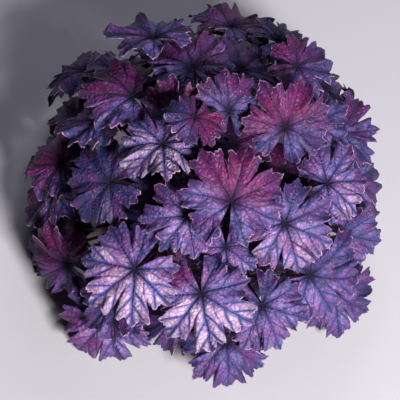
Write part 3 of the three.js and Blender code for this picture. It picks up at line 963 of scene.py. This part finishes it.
@dataclass
class Foliage:
    """All the leaves: finds each one's place again, and dresses each leaf solid with its fine leaves."""

    solids: dict[str, bpy.types.Object]  # the model's nodes
    finishes: list[bpy.types.Material]  # of the upper face, the underside and the stalk
    shell: Shell = Shell()
    told_within: float = 0.05  # between a worked out corner and the solid's own
    box_margin: float = 1.0  # round a solid's box, outside of which no try is looked at

    def corners(self, node: str) -> Array:
        """The corners of a leaf solid.

        Args:
            node: The solid's node.

        Returns:
            The corners, each once, in millimetres.
        """
        mesh = self.solids[node].data
        points = np.empty(len(mesh.vertices) * 3, dtype=np.float32)
        mesh.vertices.foreach_get("co", points)
        return np.unique(np.round(points.reshape(-1, 3).astype(float) / MM, 3), axis=0)

    def found(self, leaf: int, planned: Places, corners: Array) -> tuple[Places, Frames]:
        """The try that a leaf's solid was grown at: the one whose blade's middle and lobe tips are its
        corners.

        Args:
            leaf: The leaf's index.
            planned: The leaf's places before any try.
            corners: The solid's corners.

        Returns:
            The leaf's place and its blade's frame.
        """
        places = self.shell.nudged(planned, leaf)
        frames = self.shell.frames(places)
        middles = frames.origin + frames.z * Blade.THICKNESS / 2
        lowest, highest = corners.min(0) - self.box_margin, corners.max(0) + self.box_margin
        tried = np.flatnonzero(np.all((middles > lowest) & (middles < highest), axis=1))
        apart = np.linalg.norm(middles[tried, None] - corners[None], axis=-1).min(1)
        best, miss = None, np.inf
        for one in tried[apart < self.told_within]:
            place, frame = places.pick(one), frames.pick(one)
            tips = frame.to_space(Blade.of(leaf, float(place.width)).lobe_tips())
            gap = np.linalg.norm(tips[:, None] - corners[None], axis=-1).min(1).max()
            if gap < miss:
                best, miss = (place, frame), gap
        if best is None or miss > self.told_within:
            raise RuntimeError(f"leaf {leaf + 1}: no try fits its solid, the nearest is {miss:.3f} mm off")
        return best

    def leaves_of(self, node: str) -> list[Leaf]:
        """The leaves that a solid holds: one from the shell, and perhaps a low one from the same root.

        Args:
            node: The solid's node, whose name ends with its leaves' numbers.

        Returns:
            The leaves.
        """
        corners = self.corners(node)
        leaves: list[Leaf] = []
        for number in (int(part) for part in node.split("_")[1:]):
            leaf = number - 1
            if leaf < len(SET_LEAVES):
                planned = Places(*(np.array([float(value)]) for value in SET_LEAVES[leaf][0]))
                tier = Tier.SET
            elif leaf < self.shell.leaf_count:
                planned, tier = self.shell.spiral(leaf), Tier.SPIRAL
            else:
                planned, tier = self.shell.low(leaf), Tier.LOW
            place, frame = self.found(leaf, planned, corners)
            root = leaves[0].root if leaves else self.shell.root(place)
            leaves.append(Leaf(number, tier, place, frame, root))
        return leaves

    def build(self) -> list[bpy.types.Object]:
        """Builds the fine leaves of every leaf solid, and puts them in its stead.

        Returns:
            The new pieces.
        """
        pieces = []
        for node in sorted(name for name in self.solids if name.startswith("leaf_")):
            sheet = reduce(Sheet.joined, (leaf.sheet() for leaf in self.leaves_of(node)))
            piece = sheet.to_object(f"fine_{node}", self.finishes)
            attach(piece, "root")
            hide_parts(node)
            pieces.append(piece)
        return pieces


@dataclass
class Crown:
    """The woody crown that the stalks grow from: a knobbly dome, cut flat underneath."""

    radius: float = 40
    height: float = 36
    turns: int = 96
    levels: int = 40
    profile: tuple[tuple[float, float], ...] = (  # from the cut face's edge to the top, as shares
        (0.93, 0), (1, 0.22), (0.96, 0.5), (0.8, 0.76), (0.5, 0.94), (0.2, 1), (0.03, 1.02),
    )
    knobs: int = 5
    knob_size: float = 0.06
    small_knob_size: float = 0.04
    small_knob_lean: float = 9  # millimetres upwards for a radian
    scales: int = 9
    scale_size: float = 0.03
    scale_rows: float = 4
    scale_fade: tuple[float, float] = (4, 8)  # towards the cut face and towards the top

    def build(self, finish: bpy.types.Material) -> bpy.types.Object:
        """The fine crown, in the stead of its solid.

        The profile's radius is swelled by a cosine and a leaning sine of the turn, and dented by the scales
        that old leaves left, the size of a sine.

        Args:
            finish: The crown's material.

        Returns:
            The new piece.
        """
        shares = np.array(self.profile)
        place = np.linspace(0, len(shares) - 1, self.levels)
        out, rise = (
            (np.interp(place, np.arange(len(shares)), share) * size)[:, None]
            for share, size in zip(shares.T, (self.radius, self.height))
        )
        turn = np.linspace(0, 2 * np.pi, self.turns, endpoint=False)[None]
        rows = self.scale_rows * rise / self.height * np.pi
        scales = self.scale_size * np.abs(np.sin(self.scales * turn + rows))
        scales = scales * np.minimum(1, rise / self.scale_fade[0]) * np.minimum(1, out / self.scale_fade[1])
        small_knobs = np.sin((2 * self.knobs + 1) * turn + rise / self.small_knob_lean)
        knob = 1 + self.knob_size * np.cos(self.knobs * turn) + self.small_knob_size * small_knobs
        radial = out * (knob - scales)
        points = np.stack([radial * np.cos(turn), radial * np.sin(turn), rise * (0.5 + knob / 2)], axis=-1)
        points = points.reshape(-1, 3)
        top = points[-self.turns:].mean(0)
        points = np.concatenate([points, [[0, 0, 0], top]])
        rings = np.arange(self.levels * self.turns).reshape(self.levels, self.turns)
        sheet = Sheet(points * MM, tube(rings, 0), np.zeros((len(points), 2)), {})
        piece = sheet.to_object("fine_crown", [finish])
        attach(piece, "root")
        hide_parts("crown")
        return piece


# --------------------------------------------------------------------------------------------- the finishes


def srgb(red: int, green: int, blue: int) -> Colour:
    """A screen colour as the linear colour that shaders take, by the standard curve: a straight start, then
    a power of 2.4.

    Args:
        red: The red channel, from 0 to 255.
        green: The green channel.
        blue: The blue channel.

    Returns:
        The colour, opaque.
    """
    shares = [channel / 255 for channel in (red, green, blue)]
    linear = [share / 12.92 if share <= 0.04045 else ((share + 0.055) / 1.055) ** 2.4 for share in shares]
    return (linear[0], linear[1], linear[2], 1.0)


class Value:
    """A number socket of a shader, on which arithmetic makes Math nodes."""

    def __init__(self, paint: Paint, socket: bpy.types.NodeSocket) -> None:
        """Wraps a socket of a paint's node tree."""
        self.paint = paint
        self.socket = socket

    def __add__(self, other: Value | float) -> Value:
        """This plus other."""
        return self.paint.math("ADD", self, other)

    __radd__ = __add__

    def __sub__(self, other: Value | float) -> Value:
        """This minus other."""
        return self.paint.math("SUBTRACT", self, other)

    def __rsub__(self, other: Value | float) -> Value:
        """Other minus this."""
        return self.paint.math("SUBTRACT", other, self)

    def __mul__(self, other: Value | float) -> Value:
        """This times other."""
        return self.paint.math("MULTIPLY", self, other)

    __rmul__ = __mul__

    def __truediv__(self, other: Value | float) -> Value:
        """This over other."""
        return self.paint.math("DIVIDE", self, other)

    def __abs__(self) -> Value:
        """This without its sign."""
        return self.paint.math("ABSOLUTE", self)


class Paint:
    """The node tree of one material, with the few things that the finishes build from."""

    def __init__(self, name: str) -> None:
        """Starts an empty tree for a new material.

        Args:
            name: The material's name.
        """
        self.material = bpy.data.materials.new(name)
        self.material.use_nodes = True
        self.tree = self.material.node_tree
        self.tree.nodes.clear()
        self.output = self.tree.nodes.new("ShaderNodeOutputMaterial")

    def node(self, kind: str, settings: dict[str, Any], inputs: dict[str | int, Any]) -> bpy.types.Node:
        """A node of any type.

        Args:
            kind: The node's type.
            settings: Its settings, which are set first.
            inputs: The values or links of its sockets, by name or number.

        Returns:
            The node.
        """
        node = self.tree.nodes.new(kind)
        for name, setting in settings.items():
            setattr(node, name, setting)
        for key, value in inputs.items():
            socket = node.inputs[key]
            if isinstance(value, Value):
                value = value.socket
            if isinstance(value, bpy.types.NodeSocket):
                self.tree.links.new(value, socket)
            else:
                socket.default_value = value
        return node

    def math(self, operation: str, *values: Value | float) -> Value:
        """A Math node's result."""
        node = self.node("ShaderNodeMath", {"operation": operation}, dict(enumerate(values)))
        return Value(self, node.outputs[0])

    def smooth(self, value: Value, low: float, high: float) -> Value:
        """An S-shaped rise.

        Args:
            value: The number that it follows.
            low: The number up to which it is 0.
            high: The number from which on it is 1.

        Returns:
            The rise, from 0 to 1.
        """
        inputs = {"Value": value, "From Min": low, "From Max": high}
        node = self.node("ShaderNodeMapRange", {"interpolation_type": "SMOOTHSTEP"}, inputs)
        return Value(self, node.outputs["Result"])

    def mix(self, share: Value | float, first: Any, second: Any) -> bpy.types.NodeSocket:
        """Two colours mixed by a share of the second."""
        node = self.node("ShaderNodeMix", {"data_type": "RGBA"}, {0: share, 6: first, 7: second})
        return node.outputs[2]

    def layers(self, base: Any, *coats: tuple[Value, Any]) -> bpy.types.NodeSocket:
        """Colours laid over one another.

        Args:
            base: The lowest colour.
            *coats: Each further coat's share and its colour.

        Returns:
            The colour that is seen.
        """
        for share, colour in coats:
            base = self.mix(share, base, colour)
        return base

    def mark(self, name: str) -> Value:
        """A mark of the mesh."""
        node = self.node("ShaderNodeAttribute", {"attribute_name": name}, {})
        return Value(self, node.outputs["Fac"])

    def place(self) -> bpy.types.NodeSocket:
        """The place in space, which differs from leaf to leaf."""
        return self.node("ShaderNodeTexCoord", {}, {}).outputs["Object"]

    def plane(self) -> bpy.types.NodeSocket:
        """The place on the leaf plane map."""
        return self.node("ShaderNodeUVMap", {"uv_map": PLANE_MAP}, {}).outputs["UV"]

    def noise(self, where: bpy.types.NodeSocket, size: float, detail: float = 2.0) -> Value:
        """Smooth noise from 0 to 1.

        Args:
            where: The coordinates that it follows.
            size: About how wide its blots are, in the coordinates' unit.
            detail: How many finer layers it has.

        Returns:
            The noise.
        """
        inputs = {"Vector": where, "Scale": 1 / size, "Detail": detail, "Roughness": 0.55}
        return Value(self, self.node("ShaderNodeTexNoise", {}, inputs).outputs["Fac"])

    def cells(self, where: bpy.types.NodeSocket, size: float) -> Value:
        """How far a point is from the edge of the cell that it is in.

        Args:
            where: The coordinates that the cells follow.
            size: About how wide a cell is, in the coordinates' unit.

        Returns:
            The distance, as a share of the cells' size.
        """
        inputs = {"Vector": where, "Scale": 1 / size, "Randomness": 0.9}
        node = self.node("ShaderNodeTexVoronoi", {"feature": "DISTANCE_TO_EDGE"}, inputs)
        return Value(self, node.outputs[0])

    def finish(
        self, colour: Any, roughness: Value | float, bump: Value, depth: float, **fixed: float,
    ) -> bpy.types.Material:
        """Ends the tree in a Principled shader.

        Args:
            colour: The base colour.
            roughness: The roughness.
            bump: The height that the bump follows, from 0 to 1.
            depth: How high 1 is, in metres.
            **fixed: Other sockets' fixed values, with underscores for the spaces in their names.

        Returns:
            The material.
        """
        raised = self.node("ShaderNodeBump", {}, {"Strength": 1.0, "Distance": depth, "Height": bump})
        inputs: dict[str | int, Any] = {
            "Base Color": colour, "Roughness": roughness, "Normal": raised.outputs["Normal"],
        }
        inputs.update({name.replace("_", " "): value for name, value in fixed.items()})
        shader = self.node("ShaderNodeBsdfPrincipled", {}, inputs)
        self.tree.links.new(shader.outputs["BSDF"], self.output.inputs["Surface"])
        return self.material


@dataclass
class VeinMarks:
    """The veins as shader values."""

    main: Value  # from 0 off the main veins to 1 on them, as for the side veins and the net
    side: Value
    net: Value
    puff: Value  # from 0 on the net to 1 amid its cells
    field: Value  # from 0 on the main and side veins to 1 between them
    reach: Value  # the distance from the blade's middle, in midribs


def vein_marks(paint: Paint) -> VeinMarks:
    """The veins of a blade, from its leaf plane map: main veins at even turns, side veins that leave them at
    a slant, and a fine net between, the first two swayed a little by noise.

    Args:
        paint: The material's node tree.

    Returns:
        The vein marks.
    """
    place, plane = paint.place(), paint.plane()
    parts = paint.node("ShaderNodeSeparateXYZ", {}, {0: plane}).outputs

    def swayed(part: int) -> Value:
        """A coordinate from the blade's middle, in midribs, with its sway."""
        sway = (paint.noise(place, VEINS.sway_sizes[part], 1.0) - 0.5) * VEINS.sway
        return (Value(paint, parts[part]) - 0.5) * PLANE_SPAN + sway

    x, y = swayed(0), swayed(1)
    reach = paint.math("SQRT", x * x + y * y)
    angle = paint.math("ARCTAN2", y, x)
    sector = paint.math("ROUND", angle / VEINS.step)
    sector = paint.math("MAXIMUM", paint.math("MINIMUM", sector, MIDRIB_LOBE), -MIDRIB_LOBE)
    local = angle - sector * VEINS.step
    along = reach * paint.math("COSINE", local)
    off = abs(reach * paint.math("SINE", local))
    main = 1 - paint.smooth(off / (VEINS.main_width - reach * VEINS.main_taper), *VEINS.main_fade)
    fork = VEINS.fork(along, off, paint.math("SIGN", local))
    near = abs(paint.math("FRACT", fork / VEINS.fork_spacing) - 0.5) * VEINS.nearness()
    left = paint.smooth(fork, VEINS.fork_first - VEINS.fork_fade, VEINS.fork_first)
    side = (1 - paint.smooth(near / (VEINS.side_width - reach * VEINS.side_taper), *VEINS.side_fade)) * left
    between_sides = 1 - (1 - paint.smooth(near, *VEINS.side_field)) * left
    field = between_sides * paint.smooth(off, *VEINS.main_field)
    scaled = paint.node("ShaderNodeVectorMath", {"operation": "SCALE"}, {0: plane, "Scale": PLANE_SPAN})
    cells = paint.cells(scaled.outputs[0], VEINS.net_size)
    net = 1 - paint.smooth(cells, *VEINS.net_fade)
    return VeinMarks(main, side, net, paint.smooth(cells, *VEINS.puff), field, reach)


@dataclass(frozen=True)
class UpperFinish:
    """The upper face of a blade: lilac and silver fields between bluer veins, flushed with magenta, with a
    painted highlight in the silver and at the rim, and painted shade in the throat.
    """

    violet: Colour = srgb(36, 26, 80)
    periwinkle: Colour = srgb(88, 90, 168)
    lilac: Colour = srgb(170, 120, 190)
    # pale pink-white tissue, which is also the painted highlight on the lobes towards the front
    silver: Colour = srgb(244, 212, 238)
    orchid: Colour = srgb(126, 46, 124)
    magenta: Colour = srgb(122, 22, 86)
    indigo: Colour = srgb(26, 18, 56)
    teal: Colour = srgb(42, 50, 88)
    # nearly black: the leaf's own dark centre, and painted shade in the funnel at the stalk
    throat: Colour = srgb(20, 10, 34)
    # a painted highlight: the pale line along the margin
    rim: Colour = srgb(222, 170, 206)
    blot_size: float = 0.024
    grain_size: float = 0.005
    flush_size: float = 0.03
    blush_size: float = 0.02
    crimp_size: float = 0.01
    relief: float = 0.0008
    shine: float = 0.36

    def material(self) -> bpy.types.Material:
        """Builds the material: the tissue's colours from the deepest up, then the veins over them, the dark
        throat at the stalk, partly painted shade in its funnel, and the pale rim, a painted highlight.

        Returns:
            The material.
        """
        paint = Paint("leaf_upper")
        place = paint.place()
        veins = vein_marks(paint)
        blots = paint.noise(place, self.blot_size, 3.0)
        grain = paint.noise(place, self.grain_size, 3.0)
        silver = paint.mark("silver") + (blots - 0.55) * 1.3 + (grain - 0.5) * 0.35
        flush = paint.mark("flush") + (paint.noise(place, self.flush_size) - 0.5) * 0.9
        flush = paint.smooth(flush, 0.2, 0.8)
        margin = paint.mark("margin")
        blush = paint.smooth(paint.noise(place, self.blush_size) + margin * 0.12, 0.54, 0.74)
        edge = paint.smooth(margin + (blots - 0.5) * 0.5, 0.62, 1.05)
        crimp = paint.smooth(paint.noise(place, self.crimp_size, 1.0), 0.4, 0.65)
        dark = paint.mix(veins.reach * 1.1 - flush * 0.8, self.indigo, self.teal)
        # the silver mark lays periwinkle, lilac and the pale tissue over the violet: silvery tissue, and
        # towards the front a painted highlight
        tissue = paint.layers(
            self.violet,
            (paint.smooth(silver, 0.0, 0.7), self.periwinkle),
            (veins.field * paint.smooth(silver, 0.1, 0.8) * 0.85, self.lilac),
            (veins.field * paint.smooth(silver, 0.43, 1.0) * 0.94, self.silver),
            (flush * 0.92, self.magenta),
            (blush * 0.5, self.orchid),
            (edge * 0.5, self.violet),
            ((1 - veins.puff) * 0.32 + veins.net * 0.38, dark),
            (veins.side * 0.85, dark),
            (veins.main * 0.9, dark),
            # the throat: the leaf's dark centre, and painted shade in the funnel at the stalk
            ((1 - paint.smooth(veins.reach, 0.02, 0.26)) * 0.9, self.throat),
            # painted highlight: a pale line along the margin, broken by the crimp noise
            (paint.smooth(margin, 0.965, 0.995) * crimp * 0.75, self.rim),
        )
        height = veins.puff * 0.75 + (1 - veins.main) * 0.4 + (1 - veins.side) * 0.3 + grain * 0.06
        roughness = 0.92 - paint.smooth(veins.reach, 0.05, 0.35) * 0.46 + blots * 0.16
        return paint.finish(tissue, roughness, height, self.relief, Specular_IOR_Level=self.shine)


@dataclass(frozen=True)
class UnderFinish:
    """The underside of a blade: plain maroon with raised, paler veins."""

    maroon: Colour = srgb(72, 22, 66)
    wine: Colour = srgb(40, 14, 46)
    vein: Colour = srgb(140, 62, 104)
    blot_size: float = 0.012
    relief: float = 0.001

    def material(self) -> bpy.types.Material:
        """Builds the material: maroon blots on wine, with the veins over them.

        Returns:
            The material.
        """
        paint = Paint("leaf_under")
        veins = vein_marks(paint)
        blots = paint.noise(paint.place(), self.blot_size)
        tissue = paint.layers(
            self.wine,
            (paint.smooth(blots, 0.3, 0.7), self.maroon),
            (veins.side * 0.5 + veins.net * 0.15, self.vein),
            (veins.main * 0.8, self.vein),
        )
        height = veins.main * 0.6 + veins.side * 0.4 + (1 - veins.puff) * 0.2
        return paint.finish(tissue, 0.45 + blots * 0.15, height, self.relief)


@dataclass(frozen=True)
class StalkFinish:
    """A stalk: maroon streaked along its length, paler at the crown."""

    maroon: Colour = srgb(96, 24, 66)
    dark: Colour = srgb(44, 10, 36)
    pale: Colour = srgb(150, 80, 104)
    streaks: tuple[float, float, float] = (14.0, 1.5, 1.0)  # round the stalk and along it, the last unused
    relief: float = 0.0004

    def material(self) -> bpy.types.Material:
        """Builds the material: noise drawn out along the stalk, and a pale foot.

        Returns:
            The material.
        """
        paint = Paint("leaf_stalk")
        long = paint.node("ShaderNodeMapping", {}, {"Vector": paint.plane(), "Scale": self.streaks})
        streaks = paint.noise(long.outputs[0], 1.0)
        tissue = paint.layers(
            self.dark,
            (paint.smooth(streaks, 0.3, 0.7), self.maroon),
            ((1 - paint.smooth(paint.mark("margin"), 0.0, 0.3)) * 0.5, self.pale),
        )
        return paint.finish(tissue, 0.42 + streaks * 0.15, streaks, self.relief)


@dataclass(frozen=True)
class CrownFinish:
    """The crown: dark brown bark with paler scars."""

    bark: Colour = srgb(58, 40, 30)
    scar: Colour = srgb(112, 84, 62)
    plate_size: float = 0.007
    grain_size: float = 0.002
    relief: float = 0.0015

    def material(self) -> bpy.types.Material:
        """Builds the material: plates of bark with grain on them.

        Returns:
            The material.
        """
        paint = Paint("crown_bark")
        place = paint.place()
        plates = paint.cells(place, self.plate_size)
        grain = paint.noise(place, self.grain_size, 3.0)
        tissue = paint.mix(paint.smooth(plates, 0.05, 0.5) * 0.5 + grain * 0.3, self.bark, self.scar)
        return paint.finish(tissue, 0.8, plates * 0.7 + grain * 0.3, self.relief)


@dataclass(frozen=True)
class FloorFinish:
    """The studio's pale floor."""

    paper: Colour = srgb(208, 206, 214)
    fibre_size: float = 0.004
    relief: float = 0.0001

    def material(self) -> bpy.types.Material:
        """Builds the material: plain paper with a fine fibre.

        Returns:
            The material.
        """
        paint = Paint("floor_paper")
        fibre = paint.noise(paint.place(), self.fibre_size)
        return paint.finish(self.paper, 0.75 + fibre * 0.1, fibre, self.relief)


# ----------------------------------------------------------------------------------------------- the studio


@dataclass(frozen=True)
class Light:
    """A square light that faces the plant."""

    name: str
    bearing: float  # from the front towards +X
    elevation: float
    size: float  # of a side, in metres
    power: float  # in watts
    tint: tuple[float, float, float]
    away: float = 2.6  # from the point that it faces
    aim: tuple[float, float, float] = (0, 0, 0.1)

    def add(self) -> None:
        """Adds the light to the scene."""
        lamp = bpy.data.lights.new(self.name, "AREA")
        lamp.shape = "SQUARE"
        lamp.size = self.size
        lamp.energy = self.power
        lamp.color = self.tint
        holder = bpy.data.objects.new(self.name, lamp)
        holder.location = direction(self.bearing, self.elevation) * self.away + np.array(self.aim)
        holder.rotation_euler = (math.pi / 2 - self.elevation * DEG, 0, self.bearing * DEG)
        bpy.context.scene.collection.objects.link(holder)


@dataclass(frozen=True)
class Studio:
    """The camera, the floor, the lights and the dim surround, in metres."""

    elevation: float = 60.0  # of the camera, which stands straight in front
    distance: float = 1.5
    target: tuple[float, float, float] = (0.0, 0.0, 0.034)
    field: float = 0.4  # how wide the view is at the target
    sensor: float = 36.0  # in millimetres
    sight: float = 20  # how far the camera sees
    floor_size: float = 6.0
    floor_drop: float = 0.0002  # under the crown's cut face
    lights: tuple[Light, ...] = (
        Light("key", 28, 33, 0.6, 118, (1.0, 0.97, 0.95)),
        Light("rim", 172, 32, 1.3, 20, (0.84, 0.84, 1.0)),
    )
    surround: Colour = (0.64, 0.6, 0.95, 1)
    surround_strength: float = 0.01

    def place_camera(self) -> None:
        """Sets up the camera: straight in front, looking down at the mound."""
        camera = bpy.data.cameras.new("camera")
        camera.sensor_width = self.sensor
        camera.lens = self.sensor * self.distance / self.field
        camera.clip_end = self.sight
        holder = bpy.data.objects.new("camera", camera)
        rise = self.elevation * DEG
        x, y, z = self.target
        holder.location = (x, y - self.distance * math.cos(rise), z + self.distance * math.sin(rise))
        holder.rotation_euler = (math.pi / 2 - rise, 0, 0)
        bpy.context.scene.collection.objects.link(holder)
        bpy.context.scene.camera = holder

    def lay_floor(self) -> None:
        """Lays the pale floor that the crown stands on."""
        half = self.floor_size / 2
        corners = np.array([[-half, -half, 0], [half, -half, 0], [half, half, 0], [-half, half, 0]])
        corners = corners - [0, 0, self.floor_drop]
        sheet = Sheet(corners, [(np.array([[0, 1, 2, 3]]), 0)], np.zeros((4, 2)), {})
        floor = sheet.to_object("floor", [FloorFinish().material()])

    def build(self) -> None:
        """Builds it all: the key light stands at the front right, and a cooler one at the back."""
        self.place_camera()
        self.lay_floor()
        for light in self.lights:
            light.add()
        world = bpy.data.worlds.new("surround")
        world.use_nodes = True
        background = world.node_tree.nodes["Background"]
        background.inputs["Color"].default_value = self.surround
        background.inputs["Strength"].default_value = self.surround_strength
        bpy.context.scene.world = world
        bpy.context.scene.view_settings.view_transform = "Standard"


def main() -> None:
    """Builds everything in order and reports it."""
    logging.basicConfig(level=logging.INFO, format="%(name)s: %(message)s")
    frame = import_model()
    Studio().build()
    finishes = [UpperFinish().material(), UnderFinish().material(), StalkFinish().material()]
    pieces = Foliage(frame["nodes"], finishes).build()
    pieces.append(Crown().build(CrownFinish().material()))
    total = 0
    for piece in pieces:
        triangles = sum(len(face.vertices) - 2 for face in piece.data.polygons)
        total += triangles
        LOG.info("%s: %d triangles", piece.name, triangles)
    LOG.info("%d pieces, %d triangles", len(pieces), total)
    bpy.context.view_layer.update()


if __name__ == "__main__":
    main()
